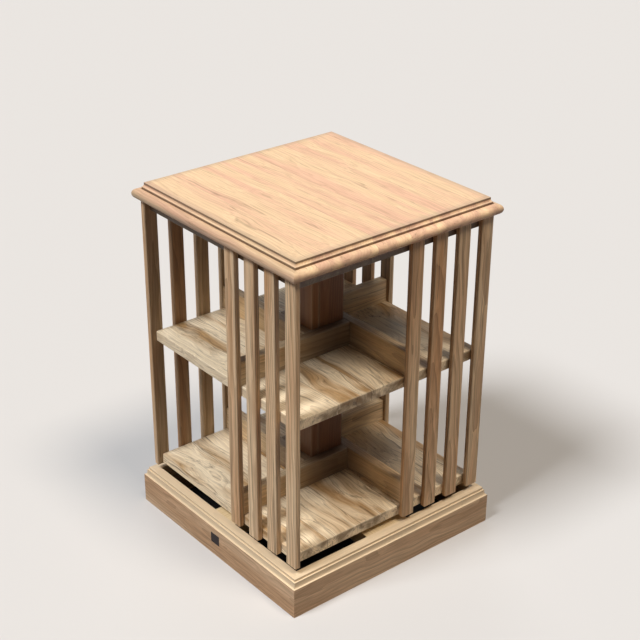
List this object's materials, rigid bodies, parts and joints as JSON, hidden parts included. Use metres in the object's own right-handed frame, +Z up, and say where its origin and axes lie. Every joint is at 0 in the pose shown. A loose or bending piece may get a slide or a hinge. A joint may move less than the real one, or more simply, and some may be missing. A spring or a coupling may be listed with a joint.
{
  "type": "revolving bookcase",
  "caption": "Square revolving wooden bookcase with slatted sides, shelves divided like a pinwheel round a hollow core and a moulded top, turning on a low plinth.",
  "frame": {"origin": "on the floor under the spindle, at the middle of the plinth", "axes": "+Z up along the turning axis; -Y is the front and -X the left side, which carries the small plate; every side is alike but for that plate and the bearers' widths"},
  "size_m": [0.511, 0.511, 0.7255],
  "materials": {
    "top_wood": "waxed, satin",
    "shelf_wood": "waxed, satin",
    "slat_wood": "waxed, satin",
    "core_wood": "waxed, satin",
    "divider_wood": "waxed, satin",
    "plinth_wood": "waxed, satin",
    "inner_wood": "sawn, bare",
    "plate_metal": "dark, dull",
    "spindle_steel": "bright drawn",
    "bearing_steel": "polished",
    "bush_brass": "turned",
    "screw_steel": "zinc plated"
  },
  "bodies": {
    "base": {"plinth_rail_front": "plinth_wood", "plinth_rail_left": "plinth_wood", "plinth_rail_back": "plinth_wood", "plinth_rail_right": "plinth_wood", "plinth_plate": "plate_metal", "side_bearer": "inner_wood", "front_bearer": "inner_wood", "spindle": "spindle_steel", "spindle_screws": "screw_steel", "thrust_washer_lower": "bearing_steel", "retaining_collar": "spindle_steel", "collar_pin": "spindle_steel"},
    "roller_ring": {"thrust_cage": "bearing_steel", "thrust_rollers": "bearing_steel"},
    "carcass": {"thrust_washer_upper": "bearing_steel", "bottom_bush": "bush_brass", "middle_bush": "bush_brass", "bottom_shelf": "shelf_wood", "middle_shelf": "shelf_wood", "upper_board": "shelf_wood", "top_board": "top_wood", "slat_front_1": "slat_wood", "slat_front_2": "slat_wood", "slat_front_3": "slat_wood", "slat_front_4": "slat_wood", "slat_left_1": "slat_wood", "slat_left_2": "slat_wood", "slat_left_3": "slat_wood", "slat_left_4": "slat_wood", "slat_back_1": "slat_wood", "slat_back_2": "slat_wood", "slat_back_3": "slat_wood", "slat_back_4": "slat_wood", "slat_right_1": "slat_wood", "slat_right_2": "slat_wood", "slat_right_3": "slat_wood", "slat_right_4": "slat_wood", "core_lower_front": "core_wood", "core_lower_left": "core_wood", "core_lower_back": "core_wood", "core_lower_right": "core_wood", "core_upper_front": "core_wood", "core_upper_left": "core_wood", "core_upper_back": "core_wood", "core_upper_right": "core_wood", "divider_lower_front": "divider_wood", "divider_lower_left": "divider_wood", "divider_lower_back": "divider_wood", "divider_lower_right": "divider_wood", "divider_upper_front": "divider_wood", "divider_upper_left": "divider_wood", "divider_upper_back": "divider_wood", "divider_upper_right": "divider_wood"}
  },
  "joints": [
    {"name": "carcass_turn", "type": "hinge", "parent": "base", "child": "carcass", "pos_m": [0, 0, 0.091], "axis": [0, 0, 1], "continuous": true},
    {"name": "roller_ring_roll", "type": "hinge", "parent": "base", "child": "roller_ring", "pos_m": [0, 0, 0.0905], "axis": [0, 0, 1], "continuous": true}
  ],
  "couplings": [
    {"joint": "roller_ring_roll", "follows": "carcass_turn", "ratio": 0.5}
  ]
}
